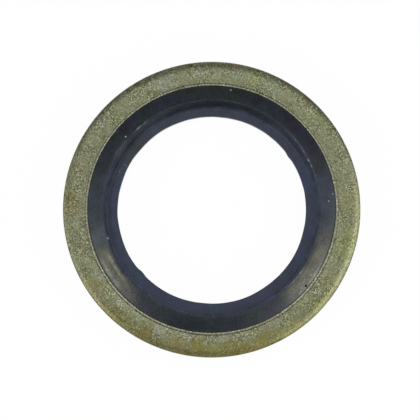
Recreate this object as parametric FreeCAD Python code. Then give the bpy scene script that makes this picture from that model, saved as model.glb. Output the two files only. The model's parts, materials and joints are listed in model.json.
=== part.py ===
"""Self-centring bonded sealing washer for a 3/8 inch pipe thread.

A flat steel ring is blanked from sheet, and a black rubber ring is moulded into its hole and bonded there.
The rubber has a sealing lip on each face. Between them, a thin web at mid-height reaches in to the thread
and centres the washer on it.

Millimetres. The origin is the centre of the hole at mid-thickness, and +Z is the axis of the hole.
The face whose outer edge was rolled over by the blanking die is up.
"""

import FreeCAD, Part
import math
import os
from collections import namedtuple

# Rubber ring, from the hole outwards
web_bore_diameter = 15.05  # grips the thread
web_width = 0.84  # from the hole to the foot of the lip
web_thickness = 0.56
web_edge_bevel = 0.05
lip_foot_bevel = 0.16  # where the lip rises from the web
lip_wall_lean = 0.32  # how far the steep inner wall leans outwards on its way up
lip_crest_width = 0.07
lip_crest_radius = 0.06  # rounding of both edges of the crest
lip_flank_width = 1.18  # long outer slope, from the crest to the bore of the steel
lip_flank_bulge = 0.06  # how far the middle corner of the flank stands above a straight slope
lip_flank_radius = 5.0  # rounding of that corner, which bows the whole flank
lip_stand = 0.35  # how far the crest stands above the face of the steel
bond_setback = 0.08  # how far below the face of the steel the flank meets its bore

# Steel ring
steel_width = 1.96  # from its bore to its outside
steel_thickness = 2.03
bore_edge_bevel = 0.05

# Outside of the steel, as the blanking die leaves it: rolled over, then sheared straight, then torn to a taper
roll_width = 0.66
roll_depth = 0.24
torn_height = 1.50
torn_taper = 0.19
tumbled_edge_bevel = 0.08  # lower edge, where tumbling took the burr off

# Fine ring that the edge of the rubber mould presses into both faces of the steel
mould_mark_setback = 0.13  # from the bore of the steel to the near side of the mark
mould_mark_width = 0.12
mould_mark_depth = 0.05

# Radii from the axis, and heights above the mid-plane
web_bore = web_bore_diameter / 2
lip_foot = web_bore + web_width
crest_inside = lip_foot + lip_wall_lean
crest_outside = crest_inside + lip_crest_width
steel_bore = crest_outside + lip_flank_width
mark_inside = steel_bore + mould_mark_setback
mark_middle = mark_inside + mould_mark_width / 2
mark_outside = mark_inside + mould_mark_width
steel_outside = steel_bore + steel_width
web_top = web_thickness / 2
steel_top = steel_thickness / 2
bond_top = steel_top - bond_setback
crest_top = steel_top + lip_stand

# A corner of a section. A fillet is a radius, and a bevel takes that length off both sides.
Corner = namedtuple("Corner", "radius height fillet bevel", defaults=(0, 0))


def section_point(radius, height):
    return FreeCAD.Vector(radius, 0, height)


def mirrored(corners):
    """The same corners below the mid-plane, in the order that carries the outline on."""
    return [corner._replace(height=-corner.height) for corner in reversed(corners)]


def edge_break(before, here, after, corner):
    """Curve that takes the corner off, from the side before it to the side after it. A sharp corner has none."""
    back = (before - here).normalize()
    ahead = (after - here).normalize()
    if corner.fillet:
        half_angle = back.getAngle(ahead) / 2
        run = corner.fillet / math.tan(half_angle)
        depth = corner.fillet / math.sin(half_angle) - corner.fillet
        middle = here + (back + ahead).normalize() * depth
        return Part.Arc(here + back * run, middle, here + ahead * run)
    if corner.bevel:
        return Part.LineSegment(here + back * corner.bevel, here + ahead * corner.bevel)
    return None


def outline(corners):
    """Edges from the first corner to the last, with the corners between them broken as they say."""
    points = [section_point(corner.radius, corner.height) for corner in corners]
    edges = []
    start = points[0]
    for before, here, after, corner in zip(points, points[1:], points[2:], corners[1:]):
        broken = edge_break(before, here, after, corner)
        if broken is None:
            edges.append(Part.LineSegment(start, here).toShape())
            start = here
        else:
            edges.append(Part.LineSegment(start, broken.StartPoint).toShape())
            edges.append(broken.toShape())
            start = broken.EndPoint
    edges.append(Part.LineSegment(start, points[-1]).toShape())
    return edges


def turned(section_edges):
    """Solid of revolution about the axis of the hole."""
    section = Part.Face(Part.Wire(section_edges))
    return section.revolve(FreeCAD.Vector(0, 0, 0), FreeCAD.Vector(0, 0, 1), 360)


def rubber_seal():
    """Web, lips and bond line. Both faces are alike."""
    flank_middle = (steel_bore + crest_outside) / 2
    flank_top = (bond_top + crest_top) / 2 + lip_flank_bulge
    upper_half = [
        Corner(steel_bore, bond_top),
        Corner(flank_middle, flank_top, fillet=lip_flank_radius),
        Corner(crest_outside, crest_top, fillet=lip_crest_radius),
        Corner(crest_inside, crest_top, fillet=lip_crest_radius),
        Corner(lip_foot, web_top, bevel=lip_foot_bevel),
        Corner(web_bore, web_top, bevel=web_edge_bevel),
    ]
    bond = Part.LineSegment(section_point(steel_bore, -bond_top), section_point(steel_bore, bond_top))
    return turned(outline(upper_half + mirrored(upper_half)) + [bond.toShape()])


def die_roll(foot, head):
    """Arc up to the head, where it runs level into the upper face, from the foot, where it meets the wall."""
    width = foot.x - head.x
    depth = head.z - foot.z
    radius = (width**2 + depth**2) / (2 * depth)
    half_turn = math.atan(depth / width)
    middle = head + section_point(radius * math.sin(half_turn), radius * math.cos(half_turn) - radius)
    return Part.Arc(foot, middle, head)


def steel_ring():
    """Blanked ring, with the mould's mark beside its bore on both faces."""
    roll_head = Corner(steel_outside - roll_width, steel_top)
    roll_foot = Corner(steel_outside, steel_top - roll_depth)
    bore_side = [
        Corner(mark_outside, steel_top),
        Corner(mark_middle, steel_top - mould_mark_depth),
        Corner(mark_inside, steel_top),
        Corner(steel_bore, steel_top, bevel=bore_edge_bevel),
    ]
    outside = [
        Corner(steel_outside - torn_taper, -steel_top, bevel=tumbled_edge_bevel),
        Corner(steel_outside, torn_height - steel_top),
    ]
    edges = outline([roll_head] + bore_side + mirrored(bore_side) + outside + [roll_foot])
    roll = die_roll(
        section_point(roll_foot.radius, roll_foot.height),
        section_point(roll_head.radius, roll_head.height),
    )
    return turned(edges + [roll.toShape()])


os.makedirs("parts", exist_ok=True)
steel_ring().exportStep("parts/steel_ring.step")
rubber_seal().exportStep("parts/rubber_seal.step")
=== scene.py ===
"""Looks of a self-centring bonded sealing washer.

Two pieces: a zinc plated steel ring with its blanked outer edge, and the black rubber seal moulded into it.
Shapes are in metres, and MM turns a size in millimetres into metres. The finishes count in millimetres.
Angles round the ring are in degrees, counted from +X towards +Y.
"""

import bpy
import json
import math
from mathutils import Matrix, Vector


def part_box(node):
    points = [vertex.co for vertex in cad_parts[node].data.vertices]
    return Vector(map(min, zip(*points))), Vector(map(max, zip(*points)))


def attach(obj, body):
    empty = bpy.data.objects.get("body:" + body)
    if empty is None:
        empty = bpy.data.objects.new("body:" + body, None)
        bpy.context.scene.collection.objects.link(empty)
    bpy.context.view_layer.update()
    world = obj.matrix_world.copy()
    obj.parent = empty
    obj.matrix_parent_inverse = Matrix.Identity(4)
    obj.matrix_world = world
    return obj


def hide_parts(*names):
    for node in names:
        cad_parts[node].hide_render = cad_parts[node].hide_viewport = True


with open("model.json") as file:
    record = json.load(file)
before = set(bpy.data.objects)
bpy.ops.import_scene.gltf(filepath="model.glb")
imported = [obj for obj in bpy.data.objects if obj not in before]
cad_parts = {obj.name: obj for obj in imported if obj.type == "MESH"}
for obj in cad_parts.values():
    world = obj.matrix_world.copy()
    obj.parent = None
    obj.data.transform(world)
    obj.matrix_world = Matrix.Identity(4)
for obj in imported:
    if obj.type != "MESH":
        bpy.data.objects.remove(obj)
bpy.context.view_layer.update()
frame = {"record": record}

MM = 0.001
BODY = "root"

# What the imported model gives
steel_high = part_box("steel_ring")[1]
seal_low, seal_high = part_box("rubber_seal")
thread_bore = next(mount for mount in frame["record"]["mounts"] if mount["name"] == "thread_bore")
STEEL_OUTSIDE = steel_high.x
STEEL_TOP = steel_high.z
STEEL_BORE = seal_high.x
CREST_TOP = seal_high.z
WEB_BORE = thread_bore["dims"]["r_mm"] * MM

# Section of the rubber
WEB_TOP = 0.28 * MM
WEB_EDGE_RADIUS = 0.06 * MM
LIP_FOOT = WEB_BORE + 0.84 * MM
LIP_FOOT_RADIUS = 0.12 * MM
FOOT_SHIFT = 0.12 * MM  # towards the near side
CREST_INSIDE = LIP_FOOT + 0.32 * MM
CREST_OUTSIDE = CREST_INSIDE + 0.07 * MM
CREST_RADIUS = 0.06 * MM
FLANK_BULGE = 0.06 * MM
FLANK_RADIUS = 5.0 * MM
BOND_TOP = STEEL_TOP - 0.08 * MM

# Section of the steel
BORE_EDGE_RADIUS = 0.05 * MM
MARK_INSIDE = STEEL_BORE + 0.13 * MM
MARK_WIDTH = 0.12 * MM
MARK_DEPTH = 0.05 * MM
MARK_RADIUS = 0.02 * MM
ROLL_WIDTH = 0.66 * MM
ROLL_DEPTH = 0.24 * MM
ROLL_FOOT_RADIUS = 0.12 * MM
TORN_HEIGHT = 1.50 * MM
TORN_TAPER = 0.19 * MM
TORN_START_RADIUS = 0.3 * MM
TUMBLED_RADIUS = 0.07 * MM

# Fineness of the meshes
STEPS_ROUND = 540
LONGEST_SIDE_STEP = 0.12 * MM
LONGEST_HIDDEN_STEP = 0.6 * MM
FILLET_STEP = math.radians(14)
SHARPEST_SMOOTH_EDGE = math.radians(30)


# Sections

def fillet_points(before, corner, after, radius):
    """Points along the arc of that radius that is tangent to both sides of the corner."""
    back = (before - corner).normalized()
    ahead = (after - corner).normalized()
    half_angle = back.angle(ahead) / 2
    turn = math.pi - 2 * half_angle
    centre = corner + (back + ahead).normalized() * radius / math.sin(half_angle)
    first = corner + back * radius / math.tan(half_angle) - centre
    last = corner + ahead * radius / math.tan(half_angle) - centre
    count = max(2, math.ceil(turn / FILLET_STEP))
    shares = [index / count for index in range(count + 1)]
    return [
        centre + (first * math.sin((1 - share) * turn) + last * math.sin(share * turn)) / math.sin(turn)
        for share in shares
    ]


def divided_side(start, end, longest):
    """Points from the start of a straight side up to its end, which is left out."""
    count = max(1, math.ceil((end - start).length / longest))
    return [start.lerp(end, index / count) for index in range(count)]


def section_outline(corners):
    """Closed outline through the corners: (radius, height, fillet), with fine steps where it shows."""
    places = [Vector(corner[:2]) for corner in corners]
    fillets = [corner[2] for corner in corners]
    stretches = []
    for index, (place, fillet) in enumerate(zip(places, fillets)):
        after = places[(index + 1) % len(places)]
        stretches.append(fillet_points(places[index - 1], place, after, fillet) if fillet else [place])
    outline = []
    for index, stretch in enumerate(stretches):
        following = stretches[(index + 1) % len(stretches)]
        hidden = stretch[-1].x == STEEL_BORE and following[0].x == STEEL_BORE
        longest = LONGEST_HIDDEN_STEP if hidden else LONGEST_SIDE_STEP
        outline += stretch[:-1] + divided_side(stretch[-1], following[0], longest)
    return outline


def lower_half(corners):
    """The same corners below the mid-plane, in the order that carries the outline on."""
    return [(radius, -height, fillet) for radius, height, fillet in reversed(corners)]


def rubber_outline():
    flank_middle = ((STEEL_BORE + CREST_OUTSIDE) / 2, (BOND_TOP + CREST_TOP) / 2 + FLANK_BULGE)
    upper = [
        (STEEL_BORE, BOND_TOP, 0),
        (*flank_middle, FLANK_RADIUS),
        (CREST_OUTSIDE, CREST_TOP, CREST_RADIUS),
        (CREST_INSIDE, CREST_TOP, CREST_RADIUS),
        (LIP_FOOT, WEB_TOP, LIP_FOOT_RADIUS),
        (WEB_BORE, WEB_TOP, WEB_EDGE_RADIUS),
    ]
    return section_outline(upper + lower_half(upper))


def rolled_edge_corners():
    """Corners along the arc that leaves the upper face level and steepens down to the sheared wall."""
    radius = (ROLL_WIDTH**2 + ROLL_DEPTH**2) / (2 * ROLL_DEPTH)
    whole_turn = 2 * math.atan(ROLL_DEPTH / ROLL_WIDTH)
    steps = 8
    corners = []
    for index in range(steps + 1):
        turn = whole_turn * (1 - index / steps)
        along = STEEL_OUTSIDE - ROLL_WIDTH + radius * math.sin(turn)
        height = STEEL_TOP - radius + radius * math.cos(turn)
        corners.append((along, height, 0 if index else ROLL_FOOT_RADIUS))
    return corners


def steel_outline():
    bore_side = [
        (MARK_INSIDE + MARK_WIDTH, STEEL_TOP, MARK_RADIUS),
        (MARK_INSIDE + MARK_WIDTH / 2, STEEL_TOP - MARK_DEPTH, MARK_RADIUS),
        (MARK_INSIDE, STEEL_TOP, MARK_RADIUS),
        (STEEL_BORE, STEEL_TOP, BORE_EDGE_RADIUS),
    ]
    outside = [
        (STEEL_OUTSIDE - TORN_TAPER, -STEEL_TOP, TUMBLED_RADIUS),
        (STEEL_OUTSIDE, TORN_HEIGHT - STEEL_TOP, TORN_START_RADIUS),
    ]
    return section_outline(rolled_edge_corners() + bore_side + lower_half(bore_side) + outside)


# Turned rings

class Wiring:
    """A node tree being wired. Each call adds a node and returns one of its outputs."""

    def __init__(self, tree):
        self.tree = tree

    def feed(self, socket, value):
        if isinstance(value, bpy.types.NodeSocket):
            self.tree.links.new(value, socket)
        else:
            socket.default_value = value

    def node(self, kind, inputs=(), **settings):
        made = self.tree.nodes.new(kind)
        for name, value in settings.items():
            setattr(made, name, value)
        for name, value in dict(inputs).items():
            self.feed(made.inputs[name], value)
        return made

    def math(self, operation, first, second=0.0, third=0.0, clamp=False):
        values = {0: first, 1: second, 2: third}
        return self.node("ShaderNodeMath", values, operation=operation, use_clamp=clamp).outputs[0]

    def vector(self, operation, first, second=(0.0, 0.0, 0.0), scale=1.0):
        made = self.node("ShaderNodeVectorMath", {0: first, 1: second, 3: scale}, operation=operation)
        return made.outputs["Value" if operation in ("LENGTH", "DISTANCE", "DOT_PRODUCT") else "Vector"]

    def fade(self, value, start, end, from_value=0.0, to_value=1.0):
        """Smooth change from from_value at start to to_value at end."""
        made = self.node("ShaderNodeMapRange", interpolation_type="SMOOTHSTEP")
        for index, given in enumerate((value, start, end, from_value, to_value)):
            self.feed(made.inputs[index], given)
        return made.outputs["Result"]

    def noise(self, place, size, seed, detail=2.0, roughness=0.5):
        """Noise from 0 to 1, whose features are about that size. Place and size are in the same unit."""
        inputs = {"Vector": place, "W": seed, "Detail": detail, "Roughness": roughness}
        made = self.node("ShaderNodeTexNoise", inputs, noise_dimensions="4D")
        inverse = self.math("DIVIDE", 1.0, size) if isinstance(size, bpy.types.NodeSocket) else 1 / size
        self.feed(made.inputs["Scale"], inverse)
        return made.outputs[0]


# Places where the trimmed edge of the web has a kink: angle, and how far it reaches into the hole
WEB_KINKS = ((222.0, 0.07 * MM), (35.4, 0.05 * MM))
KINK_HALF_WIDTH = 0.55 * MM
CALM_BORDER = 0.3 * MM


def skin_shift(wire, given, place, radius):
    """Sinks the skin a little here and there, but not where the rubber meets the steel."""
    depth = wire.noise(place, given["Skin Wavelength"], given["Seed"], detail=1.0)
    off_the_bond = wire.fade(wire.math("SUBTRACT", given["Calm From Radius"], radius), 0.0, CALM_BORDER)
    sink = wire.math("MULTIPLY", wire.math("MULTIPLY", depth, off_the_bond), given["Skin Unevenness"])
    normal = wire.node("GeometryNodeInputNormal").outputs[0]
    return wire.vector("SCALE", normal, scale=wire.math("MULTIPLY", sink, -1.0))


def trim_shift(wire, given, place, flat_place, radius, kinks):
    """Moves the trimmed inner edge in and out, with its kinks. It is felt less and less up to the reach."""
    noise = wire.noise(place, given["Trim Wavelength"], given["Seed"], detail=1.5)
    wander = wire.math("MULTIPLY", wire.math("SUBTRACT", noise, 0.5), given["Trim Unevenness"])
    for angle, reach in kinks:
        turn = math.radians(angle)
        kink_place = (WEB_BORE * math.cos(turn), WEB_BORE * math.sin(turn), 0.0)
        nearness = wire.fade(wire.vector("DISTANCE", flat_place, kink_place), KINK_HALF_WIDTH, 0.0)
        wander = wire.math("MULTIPLY_ADD", nearness, -reach, wander)
    far_in = wire.math("SUBTRACT", radius, given["Trim Radius"])
    near_trim = wire.math("SUBTRACT", 1.0, wire.math("DIVIDE", far_in, given["Trim Reach"]), clamp=True)
    outwards = wire.vector("NORMALIZE", flat_place)
    return wire.vector("SCALE", outwards, scale=wire.math("MULTIPLY", wander, near_trim))


def foot_shift(wire, given, place, radius):
    """Slides the foot of the lip to the near side, and its wall less and less on the way up to the crest."""
    height = wire.math("ABSOLUTE", wire.node("ShaderNodeSeparateXYZ", {0: place}).outputs["Z"])
    low_on_wall = wire.fade(height, CREST_TOP - CREST_RADIUS, WEB_TOP)
    off_the_hole = wire.fade(radius, WEB_BORE + WEB_EDGE_RADIUS, LIP_FOOT - LIP_FOOT_RADIUS)
    inside_crest = wire.fade(radius, CREST_OUTSIDE, CREST_INSIDE)
    at_foot = wire.math("MULTIPLY", wire.math("MULTIPLY", low_on_wall, off_the_hole), inside_crest)
    nearwards = wire.math("MULTIPLY", given["Foot Shift"], -1.0)
    slide = wire.node("ShaderNodeCombineXYZ", {"Y": nearwards}).outputs[0]
    return wire.vector("SCALE", slide, scale=at_foot)


def smoothed(wire, shape):
    """The shape, shaded smooth except along its sharp edges."""
    edge_angle = wire.node("GeometryNodeInputMeshEdgeAngle").outputs["Unsigned Angle"]
    soft_edge = wire.node("FunctionNodeCompare", operation="LESS_THAN", data_type="FLOAT")
    wire.feed(soft_edge.inputs[0], edge_angle)
    wire.feed(soft_edge.inputs[1], SHARPEST_SMOOTH_EDGE)
    faces = wire.node("GeometryNodeSetShadeSmooth", {"Geometry": shape}, domain="FACE").outputs[0]
    edge_inputs = {"Geometry": faces, "Shade Smooth": soft_edge.outputs[0]}
    return wire.node("GeometryNodeSetShadeSmooth", edge_inputs, domain="EDGE").outputs[0]


def turning_tree(name, kinks):
    """Geometry Nodes that turn a section into a ring, and shift its skin, inner edge and foot of the lip."""
    tree = bpy.data.node_groups.new(name, "GeometryNodeTree")
    sizes = {
        "Path Radius": STEEL_BORE,
        "Skin Unevenness": 0.0,
        "Skin Wavelength": MM,
        "Calm From Radius": 1.0,
        "Trim Radius": 0.0,
        "Trim Reach": MM,
        "Trim Unevenness": 0.0,
        "Trim Wavelength": MM,
        "Foot Shift": 0.0,
        "Seed": 0.0,
    }
    tree.interface.new_socket("Section", in_out="INPUT", socket_type="NodeSocketGeometry")
    steps = tree.interface.new_socket("Steps Round", in_out="INPUT", socket_type="NodeSocketInt")
    steps.default_value = STEPS_ROUND
    for size_name, size in sizes.items():
        socket = tree.interface.new_socket(size_name, in_out="INPUT", socket_type="NodeSocketFloat")
        socket.default_value = size
    tree.interface.new_socket("Finish", in_out="INPUT", socket_type="NodeSocketMaterial")
    tree.interface.new_socket("Ring", in_out="OUTPUT", socket_type="NodeSocketGeometry")

    wire = Wiring(tree)
    given = wire.node("NodeGroupInput").outputs
    section = wire.node("GeometryNodeMeshToCurve", {"Mesh": given["Section"]}).outputs[0]
    path_sizes = {"Resolution": given["Steps Round"], "Radius": given["Path Radius"]}
    path = wire.node("GeometryNodeCurvePrimitiveCircle", path_sizes).outputs[0]
    ring = wire.node("GeometryNodeCurveToMesh", {"Curve": path, "Profile Curve": section}).outputs[0]

    place = wire.node("GeometryNodeInputPosition").outputs[0]
    flat_place = wire.vector("MULTIPLY", place, (1.0, 1.0, 0.0))
    radius = wire.vector("LENGTH", flat_place)
    shift = wire.vector(
        "ADD",
        skin_shift(wire, given, place, radius),
        trim_shift(wire, given, place, flat_place, radius, kinks),
    )
    shift = wire.vector("ADD", shift, foot_shift(wire, given, place, radius))
    shaped = wire.node("GeometryNodeSetPosition", {"Geometry": ring, "Offset": shift}).outputs[0]

    real = wire.node("GeometryNodeRealizeInstances", {"Geometry": smoothed(wire, shaped)}).outputs[0]
    finish_inputs = {"Geometry": real, "Material": given["Finish"]}
    finished = wire.node("GeometryNodeSetMaterial", finish_inputs).outputs[0]
    result = wire.node("NodeGroupOutput")
    wire.feed(result.inputs["Ring"], finished)
    return tree


def section_mesh(name, outline):
    """Closed line of the section. The sweep lays its X along the radius and its Y downwards."""
    mesh = bpy.data.meshes.new(name)
    points = [(place.x - STEEL_BORE, -place.y, 0.0) for place in reversed(outline)]
    count = len(points)
    mesh.from_pydata(points, [(index, (index + 1) % count) for index in range(count)], [])
    return mesh


def turned_ring(name, outline, finish, kinks=(), **sizes):
    """Plain mesh of the section turned about Z, with its unevenness."""
    maker = bpy.data.objects.new(name + "_section", section_mesh(name + "_section", outline))
    bpy.context.scene.collection.objects.link(maker)
    modifier = maker.modifiers.new("turn", "NODES")
    modifier.node_group = turning_tree("turn_" + name, kinks)
    sockets = {item.name: item.identifier for item in modifier.node_group.interface.items_tree}
    modifier[sockets["Finish"]] = finish
    for size_name, size in sizes.items():
        modifier[sockets[size_name.replace("_", " ").title()]] = size
    evaluated = maker.evaluated_get(bpy.context.evaluated_depsgraph_get())
    mesh = bpy.data.meshes.new_from_object(evaluated)
    mesh.name = name
    bpy.data.objects.remove(maker)
    ring = bpy.data.objects.new(name, mesh)
    bpy.context.scene.collection.objects.link(ring)
    return ring


# Finishes

def new_finish(name):
    """Empty material, its wiring, its surface shader, and the place on the piece in millimetres."""
    material = bpy.data.materials.new(name)
    material.use_nodes = True
    material.node_tree.nodes.clear()
    wire = Wiring(material.node_tree)
    surface = wire.node("ShaderNodeBsdfPrincipled")
    output = wire.node("ShaderNodeOutputMaterial")
    wire.feed(output.inputs["Surface"], surface.outputs[0])
    place = wire.node("ShaderNodeTexCoord").outputs["Object"]
    return material, wire, surface, wire.vector("SCALE", place, scale=1 / MM)


def blend_colours(wire, share, first, second):
    made = wire.node("ShaderNodeMix", {"Factor": share, 6: first, 7: second}, data_type="RGBA")
    return made.outputs[2]


def from_axis(wire, place, axis=(0.0, 0.0, 0.0)):
    """Distance of a place from the axis of the hole, or from another axis beside it, in millimetres."""
    return wire.vector("DISTANCE", wire.vector("MULTIPLY", place, (1.0, 1.0, 0.0)), axis)


def near(wire, place, radius, angle, reach):
    """1 at that radius and angle on either face, fading to 0 at the reach."""
    turn = math.radians(angle)
    centre = (radius * math.cos(turn), radius * math.sin(turn), 0.0)
    return wire.fade(from_axis(wire, place, centre), reach, 0.0)


def turn_of(wire, place):
    """Angle of a place round the ring, from 180 to 540 degrees."""
    parts = wire.node("ShaderNodeSeparateXYZ", {0: place}).outputs
    return wire.math("MULTIPLY_ADD", wire.math("ARCTAN2", parts["Y"], parts["X"]), math.degrees(1), 360)


def ragged_place(wire, place):
    """The place, shifted about by a few tenths of a millimetre, which gives patches ragged borders."""
    wander = wire.noise(place, 0.9, 2.0).node.outputs["Color"]
    shift = wire.vector("SCALE", wire.vector("SUBTRACT", wander, (0.5, 0.5, 0.5)), scale=3.0)
    return wire.vector("ADD", place, shift)


def strongest(wire, shares):
    """The largest of several shares at each place."""
    result = shares[0]
    for share in shares[1:]:
        result = wire.math("MAXIMUM", result, share)
    return result


def bumped(wire, surface, height, depth):
    bump = wire.node("ShaderNodeBump", {"Height": height, "Distance": depth, "Strength": 1.0})
    wire.feed(surface.inputs["Normal"], bump.outputs[0])


# Stains in the passivation: colour, radius in mm, angle, reach in mm
GOLDEN = (0.177, 0.140, 0.030, 1.0)
RUSSET = (0.210, 0.161, 0.104, 1.0)
YELLOW = (0.218, 0.216, 0.088, 1.0)
LEAF_GREEN = (0.180, 0.215, 0.095, 1.0)
SEA_GREEN = (0.200, 0.240, 0.185, 1.0)
PALE_GREY = (0.258, 0.262, 0.212, 1.0)
STAINS = (
    (YELLOW, 11.5, 346, 1.9),
    (YELLOW, 11.6, 318, 2.2),
    (YELLOW, 11.6, 303, 1.6),
    (YELLOW, 11.3, 2, 2.0),
    (GOLDEN, 11.6, 291, 1.4),
    (GOLDEN, 11.7, 281, 1.9),
    (GOLDEN, 11.8, 262, 2.1),
    (GOLDEN, 11.6, 241, 1.8),
    (GOLDEN, 11.5, 228, 1.5),
    (GOLDEN, 11.5, 212, 1.1),
    (GOLDEN, 11.3, 176, 1.3),
    (GOLDEN, 11.8, 97, 1.2),
    (RUSSET, 11.6, 257, 0.9),
    (RUSSET, 11.7, 222, 0.8),
    (RUSSET, 11.0, 164, 1.0),
    (RUSSET, 11.8, 117, 0.9),
    (RUSSET, 11.8, 80, 1.3),
    (RUSSET, 11.7, 50, 0.8),
    (RUSSET, 11.4, 15, 0.9),
    (LEAF_GREEN, 11.0, 342, 1.8),
    (LEAF_GREEN, 10.8, 223, 1.2),
    (LEAF_GREEN, 10.4, 136, 1.2),
    (LEAF_GREEN, 10.4, 117, 1.1),
    (LEAF_GREEN, 11.1, 72, 1.6),
    (LEAF_GREEN, 11.1, 42, 1.8),
    (SEA_GREEN, 10.2, 236, 0.9),
    (SEA_GREEN, 11.0, 109, 1.4),
    (SEA_GREEN, 10.9, 78, 0.8),
    (SEA_GREEN, 11.1, 62, 1.1),
    (PALE_GREY, 10.3, 275, 1.0),
    (PALE_GREY, 10.3, 260, 1.3),
    (PALE_GREY, 10.3, 247, 1.1),
    (PALE_GREY, 10.4, 226, 1.2),
    (PALE_GREY, 10.2, 211, 1.2),
    (PALE_GREY, 11.2, 140, 1.1),
    (PALE_GREY, 10.9, 113, 1.5),
    (PALE_GREY, 11.1, 95, 1.1),
)
STAIN_STRENGTH = 0.45
# The near edge, yellowed as a whole: radius in mm, angle, reach in mm
YELLOWED_STRETCH = (11.6, 275, 17.0)
YELLOWED_STRENGTH = 0.9
# Lighter and darker stretches: how much, the radius of the middle and half the width in mm, and the angle of
# the middle and half the length in degrees
TONES = (
    (0.15, 10.25, 0.7, 228, 42),
    (0.11, 10.25, 0.7, 332, 40),
    (-0.11, 10.25, 0.7, 157, 55),
    (-0.07, 10.25, 0.7, 103, 14),
    (-0.07, 10.25, 0.7, 25, 25),
    (0.05, 10.25, 0.7, 288, 16),
    (0.11, 10.85, 0.6, 75, 85),
    (-0.07, 10.85, 0.6, 238, 35),
    (0.06, 10.85, 0.6, 255, 14),
    (-0.05, 10.85, 0.6, 292, 30),
    (-0.11, 11.4, 0.6, 240, 40),
    (-0.07, 11.2, 0.8, 0, 14),
    (-0.14, 11.4, 0.6, 315, 16),
    (0.09, 11.4, 0.6, 345, 28),
    (0.12, 11.4, 0.6, 28, 22),
    (0.08, 11.4, 0.6, 60, 15),
    (-0.06, 11.4, 0.6, 95, 35),
    (0.06, 11.4, 0.6, 148, 30),
    (0.06, 11.4, 0.6, 293, 20),
)
# Painted highlight on the rolled edge: radius in mm, angle, reach in mm
ROLL_HIGHLIGHTS = ((11.8, 20, 24.0), (11.8, 138, 8.0))
ROLL_HIGHLIGHT_GAIN = 0.3
# Blushes strewn over the zinc at random: colour, size in mm, seed
BLUSHES = (
    ((0.180, 0.212, 0.108, 1.0), 1.2, 1.0),
    ((0.212, 0.192, 0.098, 1.0), 1.1, 2.0),
    ((0.216, 0.200, 0.150, 1.0), 0.9, 3.0),
    ((0.192, 0.218, 0.158, 1.0), 1.0, 4.0),
)
BLUSH_STRENGTH = 0.1
# Where the mould's mark is dirty: angle, reach in mm. Elsewhere it has a little dirt.
DIRTY_MARK = (212, 21.0)
# Grain and mottle of the zinc: sizes in mm, how strongly they vary the brightness, and how deep the grain is
GRAIN_SIZE = 0.102
GRAIN_STRENGTH = 4.6
GRAIN_DEPTH = 0.012 * MM
MOTTLE_SIZE = 0.45
MOTTLE_STRENGTH = 0.1
BUSY_PATCH_SIZE = 1.1


def passivation(wire, place):
    """Colour of the zinc with its blushes and stains, and the share to which a place has yellowed."""
    olive = (0.199, 0.207, 0.125, 1.0)
    straw = (0.192, 0.181, 0.068, 1.0)

    colour = olive
    for blush, size, seed in BLUSHES:
        patch = wire.noise(place, size, seed, detail=1.5)
        colour = blend_colours(wire, wire.fade(patch, 0.46, 0.68, 0.0, BLUSH_STRENGTH), colour, blush)
    ragged = ragged_place(wire, place)
    edge_zone = wire.fade(from_axis(wire, ragged), 10.5, 11.4)
    yellowed = wire.math("MULTIPLY", edge_zone, near(wire, ragged, *YELLOWED_STRETCH))
    colour = blend_colours(wire, wire.math("MULTIPLY", yellowed, YELLOWED_STRENGTH), colour, straw)
    for stain, radius, angle, reach in STAINS:
        share = wire.fade(near(wire, ragged, radius, angle, reach), 0.1, 1.0, 0.0, STAIN_STRENGTH)
        colour = blend_colours(wire, share, colour, stain)
    return colour, yellowed


def mould_marked(wire, place, radius, colour):
    """The colour, rinsed pale on the land beside the bore, and dirty in the mould's mark."""
    rinsed_land = (0.255, 0.255, 0.200, 1.0)
    mark_dirt = (0.13, 0.13, 0.09, 1.0)

    mark_middle = (MARK_INSIDE + MARK_WIDTH / 2) / MM
    on_land = wire.fade(radius, mark_middle - 0.02, mark_middle - 0.07)
    colour = blend_colours(wire, on_land, colour, rinsed_land)
    dirty = wire.math("MULTIPLY_ADD", near(wire, place, mark_middle, *DIRTY_MARK), 0.85, 0.1)
    from_mark = wire.math("ABSOLUTE", wire.math("SUBTRACT", radius, mark_middle))
    in_mark = wire.math("MULTIPLY", wire.fade(from_mark, MARK_WIDTH / 2 / MM, 0.0), dirty)
    return blend_colours(wire, in_mark, colour, mark_dirt)


def painted_roll_highlight(wire, place, radius):
    """Painted highlight: brightness that the rolled edge gains at the given places."""
    outside = STEEL_OUTSIDE / MM
    on_roll = wire.fade(radius, outside - ROLL_WIDTH / MM, outside - 0.3)
    on_roll = wire.math("MULTIPLY", on_roll, wire.fade(radius, outside - 0.12, outside - 0.3))
    painted_highlight_share = strongest(wire, [near(wire, place, *stretch) for stretch in ROLL_HIGHLIGHTS])
    return wire.math("MULTIPLY", wire.math("MULTIPLY", on_roll, painted_highlight_share), ROLL_HIGHLIGHT_GAIN)


def toned(wire, place, radius, unevenness):
    """The unevenness of the brightness, with the lighter and darker stretches added."""
    turn = turn_of(wire, place)
    for amount, middle, half_width, angle, half_length in TONES:
        off_middle = wire.math("ABSOLUTE", wire.math("SUBTRACT", radius, middle))
        tone = wire.fade(off_middle, half_width, 0.0, 0.0, amount)
        along = wire.math("WRAP", wire.math("SUBTRACT", turn, angle), 180.0, -180.0)
        within = wire.fade(wire.math("ABSOLUTE", along), half_length, 0.0)
        unevenness = wire.math("MULTIPLY_ADD", tone, within, unevenness)
    return unevenness


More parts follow.
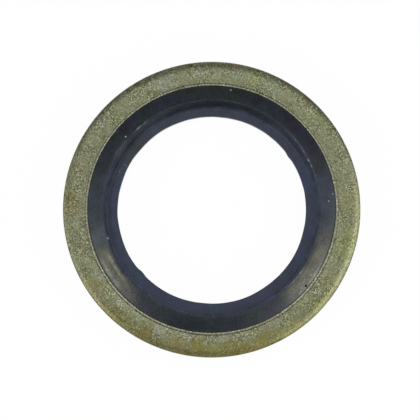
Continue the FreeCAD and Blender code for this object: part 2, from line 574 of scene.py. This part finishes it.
def zinc_plating():
    """Olive passivated zinc: a sparkling light and dark grain over stains of green, gold, grey and brown."""
    material, wire, surface, place = new_finish("passivated_zinc")
    radius = from_axis(wire, place)
    glint = (0.240, 0.250, 0.225, 1.0)

    colour, yellowed = passivation(wire, place)
    colour = mould_marked(wire, place, radius, colour)
    grain = wire.noise(place, GRAIN_SIZE, 7.0, roughness=0.6)
    colour = blend_colours(wire, wire.fade(grain, 0.54, 0.80, 0.0, 0.5), colour, glint)

    # The grain is strong in some patches and weak in others, and weak where the zinc has yellowed
    busy = wire.fade(wire.noise(place, BUSY_PATCH_SIZE, 9.0, detail=1.0), 0.36, 0.62, 0.5, 1.18)
    contrast = wire.math("MULTIPLY", wire.math("SUBTRACT", grain, 0.5), busy)
    calm = wire.math("MULTIPLY_ADD", yellowed, -0.5, 1.0)
    speckle = wire.math("MULTIPLY", contrast, wire.math("MULTIPLY", calm, GRAIN_STRENGTH))
    mottle = wire.math("SUBTRACT", wire.noise(place, MOTTLE_SIZE, 12.0, detail=1.0), 0.5)
    # The painted highlight on the rolled edge is added to the brightness here.
    smooth_part = wire.math("MULTIPLY_ADD", mottle, MOTTLE_STRENGTH, painted_roll_highlight(wire, place, radius))
    unevenness = toned(wire, place, radius, wire.math("ADD", speckle, smooth_part))
    # Light grains gain more than dark ones lose, so a busier place would be brighter as a whole
    gain = wire.math("MULTIPLY_ADD", wire.math("MULTIPLY", busy, busy), 0.1, -0.03)
    level = wire.math("EXPONENT", wire.math("SUBTRACT", unevenness, gain))
    wire.feed(surface.inputs["Base Color"], wire.vector("SCALE", colour, scale=level))

    surface.inputs["Metallic"].default_value = 1.0
    wire.feed(surface.inputs["Roughness"], wire.math("MULTIPLY_ADD", grain, 0.2, 0.32))
    bumped(wire, surface, grain, GRAIN_DEPTH)
    return material


# Tints of the lips: colour, radius in mm, angle, reach in mm
BLUISH = (0.0170, 0.0260, 0.0460, 1.0)
GREENISH = (0.0050, 0.0095, 0.0150, 1.0)
SLATE = (0.0160, 0.0265, 0.0400, 1.0)
PLUM = (0.0130, 0.0130, 0.0250, 1.0)
MISTY = (0.0400, 0.0540, 0.0600, 1.0)
LIP_TINTS = (
    (BLUISH, 9.4, 2, 4.5),
    (SLATE, 9.4, 180, 4.5),
    (MISTY, 9.5, 196, 2.3),
    (GREENISH, 9.4, 261, 4.6),
    (PLUM, 9.5, 40, 3.5),
    (PLUM, 9.3, 303, 1.6),
)
# Stretches of the lips with dust and a painted highlight where the side lamps light them: first and last
# angle, and the degrees over which those ends fade
DUST_AND_HIGHLIGHT_STRETCHES = ((203.0, 218.5, 5.5, 16.0), (318.0, 335.0, 13.0, 21.0))
# Lines of painted highlight along the crest, and of dust with a painted highlight on the lit flanks: colour,
# radius in mm, angle, reach in mm along the line, half its width in mm, strength, and how far it fills the
# gaps between its dots
PALE_DUST_AND_HIGHLIGHT = (0.42, 0.43, 0.38, 1.0)
HIGHLIGHT_WHITE = (0.46, 0.47, 0.54, 1.0)
HIGHLIGHT_LINES = (
    (HIGHLIGHT_WHITE, 8.67, 30, 2.6, 0.08, 0.75, 0.12),
    (HIGHLIGHT_WHITE, 8.71, 131, 0.9, 0.09, 0.40, 0.1),
    (HIGHLIGHT_WHITE, 8.57, 146, 3.2, 0.18, 0.034, 1.0),
    (HIGHLIGHT_WHITE, 8.82, 147, 1.3, 0.22, 0.09, 0.5),
    (HIGHLIGHT_WHITE, 8.80, 321, 1.3, 0.10, 0.50, 0.2),
    (PALE_DUST_AND_HIGHLIGHT, 9.00, 211, 1.7, 0.20, 0.55, 0.5),
    (PALE_DUST_AND_HIGHLIGHT, 9.68, 213, 1.8, 0.20, 0.60, 0.4),
    (PALE_DUST_AND_HIGHLIGHT, 9.46, 322, 2.2, 0.36, 0.28, 0.0),
    (PALE_DUST_AND_HIGHLIGHT, 9.84, 324, 3.0, 0.20, 0.42, 0.6),
)
# Specks: radius in mm, angle, size in mm, and strength
WHITE_SPECKS = (
    (8.98, 139.9, 0.09, 0.8),
    (9.68, 80.8, 0.09, 0.6),
    (9.37, 3.5, 0.09, 0.8),
    (9.76, 7.0, 0.08, 0.4),
    (7.82, 152.5, 0.07, 0.3),
    (8.01, 157.1, 0.07, 0.3),
    (8.61, 195.9, 0.14, 0.4),
)
# One black pit: radius in mm, angle, size in mm
PIT = (9.76, 320.5, 0.16)
# Stretches of the web: radius in mm, angle, reach in mm
FADED_WEB = (8.5, 95, 12.8)
GREYED_WEB = (8.0, 140, 3.2)
# Stretches along the wall of the lip, whose middle is at this radius in mm: angle, reach in mm. The first
# two place bloom with painted light on the wall and its foot, the third painted shade in the corner at the
# foot.
WALL_MIDDLE = 8.5
THICK_BLOOM_AND_PAINTED_LIGHT = (268, 15.0)
HIGH_BLOOM_AND_PAINTED_LIGHT = (325, 6.0)
PAINTED_SHADE_CORNER = (85, 12.0)
# Where that corner gets some of the painted shade too: angle, reach in mm, and its share of the painted
# shade
PARTLY_PAINTED_SHADE = ((178, 7.0, 0.4), (140, 5.5, 0.72), (33, 4.4, 0.45))
# Axis that the painted shade in the corner runs round, in mm. It makes the shaded corner wider on the left.
PAINTED_SHADE_AXIS = (0.14, 0.05, 0.0)
RUBBER_GRAIN_SIZE = 0.14
RUBBER_GRAIN_DEPTH = 0.010 * MM


def between_angles(wire, place, first, last, fade_in, fade_out):
    """1 from the first angle to the last, on the near half of either face, fading to 0 beyond them."""
    turn = turn_of(wire, place)
    fading_in = wire.fade(turn, first - fade_in, first)
    return wire.math("MULTIPLY", fading_in, wire.fade(turn, last + fade_out, last))


def drawn_out(wire, place):
    """Place to read a noise at, so that its features are twice as long round the ring as across it."""
    length_of_degree = math.radians(1) * LIP_FOOT / MM
    along = wire.math("MULTIPLY", turn_of(wire, place), length_of_degree / 2)
    return wire.node("ShaderNodeCombineXYZ", {"X": along, "Y": from_axis(wire, place)}).outputs[0]


def web_colour(wire, place, drift):
    """Navy that drifts into violet and teal, faded on the far side."""
    navy = (0.0130, 0.0220, 0.0580, 1.0)
    violet = (0.0210, 0.0210, 0.0640, 1.0)
    teal = (0.0105, 0.0280, 0.0460, 1.0)
    faded = (0.0150, 0.0210, 0.0420, 1.0)
    greyed = (0.0155, 0.0215, 0.0290, 1.0)

    other_drift = wire.noise(place, 1.4, 6.0, detail=3.0)
    colour = blend_colours(wire, wire.fade(drift, 0.50, 0.66), navy, violet)
    colour = blend_colours(wire, wire.fade(other_drift, 0.52, 0.66), colour, teal)
    colour = blend_colours(wire, near(wire, place, *FADED_WEB), colour, faded)
    return blend_colours(wire, near(wire, place, *GREYED_WEB), colour, greyed)


def lip_wall_bloom_and_painted_light(wire, place, web):
    """The web's colour, with bloom and painted light on the wall above it, and painted shade in the corner
    between them. The second result is the share to which a place is on either of those two, which shine
    less."""
    # The first two colours are bloom with painted light for the wall and its foot; the third is painted
    # shade for the corner.
    bloom_and_painted_light = (0.0500, 0.0620, 0.0920, 1.0)
    foot_bloom_and_painted_light = (0.1400, 0.1550, 0.2100, 1.0)
    painted_shade_rubber = (0.0096, 0.0122, 0.0160, 1.0)
    foot = LIP_FOOT / MM
    foot_height = WEB_TOP / MM

    height = wire.math("ABSOLUTE", wire.node("ShaderNodeSeparateXYZ", {0: place}).outputs["Z"])
    low_bloom_and_painted_light = blend_colours(wire, near(wire, place, WALL_MIDDLE, *THICK_BLOOM_AND_PAINTED_LIGHT), bloom_and_painted_light, foot_bloom_and_painted_light)
    thinning = wire.fade(near(wire, place, WALL_MIDDLE, *HIGH_BLOOM_AND_PAINTED_LIGHT), 0.5, 0.0, 0.6, 1.0)
    rising = wire.fade(height, foot_height + 0.1, foot_height + 0.6)
    wall = blend_colours(wire, wire.math("MULTIPLY", rising, thinning), low_bloom_and_painted_light, bloom_and_painted_light)

    on_wall = wire.fade(height, foot_height, foot_height + 0.04)
    # Painted light that reaches onto the web just before the foot of the lip, where it would crease dark.
    from_foot_axis = from_axis(wire, place, (0.0, -FOOT_SHIFT / MM, 0.0))
    painted_light_at_foot = wire.fade(from_foot_axis, foot - 0.16, foot - 0.03, 0.0, 0.045)
    colour = blend_colours(wire, wire.math("MAXIMUM", on_wall, painted_light_at_foot), web, wall)

    # Painted shade in the corner at the foot of the lip, mostly on the far side.
    painted_shade_share = near(wire, place, WALL_MIDDLE, *PAINTED_SHADE_CORNER)
    for angle, reach, share in PARTLY_PAINTED_SHADE:
        extra_painted_shade = wire.math("MULTIPLY", near(wire, place, WALL_MIDDLE, angle, reach), share)
        painted_shade_share = wire.math("MAXIMUM", painted_shade_share, extra_painted_shade)
    in_corner = wire.fade(from_axis(wire, place, PAINTED_SHADE_AXIS), foot - 0.32, foot + 0.06)
    painted_shade_in_corner = wire.math("MULTIPLY", in_corner, painted_shade_share)
    return blend_colours(wire, painted_shade_in_corner, colour, painted_shade_rubber), wire.math("MAXIMUM", on_wall, painted_shade_in_corner)


def lip_colour(wire, place, radius, drift):
    """Grey with a few tints, dust and a painted highlight on two lit stretches, and olive where it runs out
    against the steel.
    """
    grey = (0.0122, 0.0142, 0.0255, 1.0)
    green = (0.0105, 0.0162, 0.0175, 1.0)
    dust_and_highlight = (0.084, 0.085, 0.061, 1.0)
    olive_rim = (0.0240, 0.0240, 0.0120, 1.0)

    colour = blend_colours(wire, wire.fade(drift, 0.42, 0.58), grey, green)
    for tint, tint_radius, angle, reach in LIP_TINTS:
        colour = blend_colours(wire, near(wire, place, tint_radius, angle, reach), colour, tint)
    # Dust with a painted highlight on the stretches lit by the side softboxes.
    stretches = [between_angles(wire, place, *stretch) for stretch in DUST_AND_HIGHLIGHT_STRETCHES]
    off_crest = wire.fade(radius, CREST_OUTSIDE / MM, CREST_OUTSIDE / MM + 0.35, 0.3, 1.0)
    dust_and_highlight_share = wire.math("MULTIPLY", strongest(wire, stretches), off_crest)
    colour = blend_colours(wire, dust_and_highlight_share, colour, dust_and_highlight)
    at_rim = wire.fade(radius, STEEL_BORE / MM - 0.2, STEEL_BORE / MM, 0.0, 0.8)
    return blend_colours(wire, at_rim, colour, olive_rim)


def with_highlight_lines_and_specks(wire, place, radius, colour):
    """The colour, with painted highlights along the crest and on the lit flanks, and the white specks."""
    white = (0.7, 0.75, 0.8, 1.0)

    dots = wire.fade(wire.noise(drawn_out(wire, place), 0.15, 11.0, detail=1.0), 0.46, 0.62)
    # Painted highlights along the crest, and dust with painted highlights on the lit flanks.
    for pale, line_radius, angle, reach, half_width, strength, filling in HIGHLIGHT_LINES:
        off_line = wire.math("ABSOLUTE", wire.math("SUBTRACT", radius, line_radius))
        on_line = wire.fade(off_line, half_width, 0.0, 0.0, strength)
        painted_highlight_share = wire.math("MULTIPLY", near(wire, place, line_radius, angle, reach), on_line)
        filled = wire.math("MAXIMUM", dots, filling)
        colour = blend_colours(wire, wire.math("MULTIPLY", painted_highlight_share, filled), colour, pale)
    for speck_radius, angle, size, strength in WHITE_SPECKS:
        share = wire.math("MULTIPLY", near(wire, place, speck_radius, angle, size), strength)
        colour = blend_colours(wire, share, colour, white)
    return colour


def moulded_rubber():
    """Nitrile with a satin mould skin: navy in the web, grey on the lips, with painted light on the lip's
    wall and painted shade in its corner, and dust with painted highlights on the lit stretches of the lips.
    """
    material, wire, surface, place = new_finish("black_nitrile")
    radius = from_axis(wire, place)
    black = (0.004, 0.004, 0.004, 1.0)

    drift = wire.noise(place, 1.2, 2.0, detail=3.0)
    # The web's colour comes with painted light on the lip's wall and painted shade in its corner.
    inner, dull = lip_wall_bloom_and_painted_light(wire, place, web_colour(wire, place, drift))
    outer = lip_colour(wire, place, radius, drift)
    crest = (CREST_INSIDE + CREST_OUTSIDE) / 2 / MM
    ragged = wire.math("MULTIPLY_ADD", wire.noise(place, 0.35, 8.0), 0.16, -0.08)
    outside_crest = wire.fade(wire.math("ADD", radius, ragged), crest - 0.06, crest + 0.02)
    colour = with_highlight_lines_and_specks(wire, place, radius, blend_colours(wire, outside_crest, inner, outer))
    pit = wire.fade(near(wire, place, *PIT), 0.0, 0.6)
    colour = blend_colours(wire, pit, colour, black)

    grain = wire.noise(place, RUBBER_GRAIN_SIZE, 5.0)
    cloudy = wire.math("ADD", grain, wire.noise(place, 0.8, 13.0))
    level = wire.math("MULTIPLY_ADD", wire.math("SUBTRACT", cloudy, 1.0), 1.6, 1.0)
    wire.feed(surface.inputs["Base Color"], wire.vector("SCALE", colour, scale=level))
    wire.feed(surface.inputs["Roughness"], wire.math("MULTIPLY_ADD", grain, 0.2, 0.24))
    inside_crest = wire.math("SUBTRACT", 1.0, outside_crest)
    matt = wire.math("MAXIMUM", wire.math("MULTIPLY", inside_crest, dull), pit)
    wire.feed(surface.inputs["Specular IOR Level"], wire.math("MULTIPLY_ADD", matt, -0.30, 0.38))
    bumped(wire, surface, grain, RUBBER_GRAIN_DEPTH)
    return material


# Pieces

steel = turned_ring(
    "steel_ring_finished",
    steel_outline(),
    zinc_plating(),
)
seal = turned_ring(
    "rubber_seal_finished",
    rubber_outline(),
    moulded_rubber(),
    kinks=WEB_KINKS,
    skin_unevenness=0.015 * MM,
    skin_wavelength=1.6 * MM,
    calm_from_radius=STEEL_BORE,
    trim_radius=WEB_BORE,
    trim_reach=0.6 * MM,
    trim_unevenness=0.10 * MM,
    trim_wavelength=1.8 * MM,
    foot_shift=FOOT_SHIFT,
    seed=3.0,
)
for piece, node, slot in ((steel, "steel_ring", "zinc_plated_steel"), (seal, "rubber_seal", "black_rubber")):
    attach(piece, BODY)
    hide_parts(node)


# Stage

FLOOR_SIZE = 1.2
FLOOR_WHITE = (0.9, 0.9, 0.9, 1.0)
FLOOR_GLOW_SHARE = 0.97


def seen_directly(wire):
    """1 for the camera, and for what metal or glass shows of the background."""
    path = wire.node("ShaderNodeLightPath").outputs
    mirrored = wire.math("MAXIMUM", path["Is Glossy Ray"], path["Is Transmission Ray"])
    return wire.math("MAXIMUM", path["Is Camera Ray"], mirrored)


def white_floor():
    """White paper, lit so that it is white in the picture and keeps a little of the shadow."""
    material = bpy.data.materials.new("white_paper")
    material.use_nodes = True
    material.node_tree.nodes.clear()
    wire = Wiring(material.node_tree)
    paper = wire.node("ShaderNodeBsdfDiffuse", {"Color": FLOOR_WHITE}).outputs[0]
    glow = wire.node("ShaderNodeEmission", {"Strength": 1.0}).outputs[0]
    share = wire.math("MULTIPLY", seen_directly(wire), FLOOR_GLOW_SHARE)
    mixed = wire.node("ShaderNodeMixShader", {0: share, 1: paper, 2: glow}).outputs[0]
    output = wire.node("ShaderNodeOutputMaterial")
    wire.feed(output.inputs["Surface"], mixed)
    return material


def floor():
    """Flat sheet under the lower lip."""
    half = FLOOR_SIZE / 2
    mesh = bpy.data.meshes.new("floor")
    corners = [(-half, -half), (half, -half), (half, half), (-half, half)]
    mesh.from_pydata([(x, y, seal_low.z) for x, y in corners], [], [(0, 1, 2, 3)])
    mesh.materials.append(white_floor())
    sheet = bpy.data.objects.new("floor", mesh)
    bpy.context.scene.collection.objects.link(sheet)


def soft_lamp(name, azimuth, elevation, width, depth, radiance):
    """Oval softbox that faces the washer. A radiance of 1 is that of a white wall lit at plain level."""
    lamp = bpy.data.lights.new(name, "AREA")
    lamp.shape = "ELLIPSE"
    lamp.size = width
    lamp.size_y = depth
    area = math.pi / 4 * width * depth
    lamp.energy = radiance * math.pi * area
    turn, rise = math.radians(azimuth), math.radians(elevation)
    towards = Vector((math.cos(turn) * math.cos(rise), math.sin(turn) * math.cos(rise), math.sin(rise)))
    holder = bpy.data.objects.new(name, lamp)
    holder.location = towards * LAMP_DISTANCE
    holder.rotation_mode = "QUATERNION"
    holder.rotation_quaternion = towards.to_track_quat("Z", "Y")
    holder.visible_camera = False
    bpy.context.scene.collection.objects.link(holder)


def surroundings():
    """Plain grey room for the light, white behind the picture."""
    grey = 0.25
    world = bpy.data.worlds.new("room")
    bpy.context.scene.world = world
    world.use_nodes = True
    world.node_tree.nodes.clear()
    wire = Wiring(world.node_tree)
    path = wire.node("ShaderNodeLightPath").outputs
    room = wire.node("ShaderNodeBackground", {"Color": (grey, grey, grey, 1.0)}).outputs[0]
    white = wire.node("ShaderNodeBackground", {"Color": (1.0, 1.0, 1.0, 1.0)}).outputs[0]
    mixed = wire.node("ShaderNodeMixShader", {0: path["Is Camera Ray"], 1: room, 2: white}).outputs[0]
    output = wire.node("ShaderNodeOutputWorld")
    wire.feed(output.inputs["Surface"], mixed)


# The photograph's frame, measured in its own pixels, and how far the camera leans
PICTURE_WIDTH = 420
OUTSIDE_DIAMETER_PX = 297.1
CENTRE_RIGHT_PX = 1.75
CENTRE_UP_PX = -0.2
LEAN_RIGHT = math.radians(0.7)
LEAN_NEAR = math.radians(6.5)
CAMERA_DISTANCE = 0.5


def camera():
    """Long lens, nearly straight above, leaning to the near side and a very little to the right."""
    pixel = 2 * STEEL_OUTSIDE / OUTSIDE_DIAMETER_PX
    aim = Vector((-CENTRE_RIGHT_PX, -CENTRE_UP_PX, 0)) * pixel
    back = Vector((math.tan(LEAN_RIGHT), -math.tan(LEAN_NEAR), 1)).normalized()
    across = Vector((0, 1, 0)).cross(back).normalized()
    view = bpy.data.cameras.new("camera")
    view.sensor_width = 36
    view.lens = view.sensor_width * CAMERA_DISTANCE / (PICTURE_WIDTH * pixel)
    view.clip_start, view.clip_end = 0.01, 10
    facing = Matrix((across, back.cross(across), back)).transposed().to_4x4()
    holder = bpy.data.objects.new("camera", view)
    holder.matrix_world = Matrix.Translation(aim + back * CAMERA_DISTANCE) @ facing
    bpy.context.scene.collection.objects.link(holder)
    bpy.context.scene.camera = holder


# Softboxes and cards: name, azimuth and elevation in degrees, width and depth in metres, brightness
LAMP_DISTANCE = 0.45
LAMPS = (
    ("overhead_softbox", 90, 87, 0.72, 0.41, 1.02),
    ("left_softbox", 213, 35, 0.25, 0.26, 2.9),
    ("right_softbox", 323, 38, 0.28, 0.28, 3.3),
    ("right_card", 5, 29, 0.30, 0.30, 2.2),
    ("left_card", 176, 27, 0.30, 0.30, 1.2),
    ("near_card", 268, 28, 0.40, 0.14, 1.2),
    ("far_card", 92, 20, 0.36, 0.14, 0.5),
)

floor()
surroundings()
for lamp in LAMPS:
    soft_lamp(*lamp)
camera()
bpy.context.scene.view_settings.view_transform = "Standard"
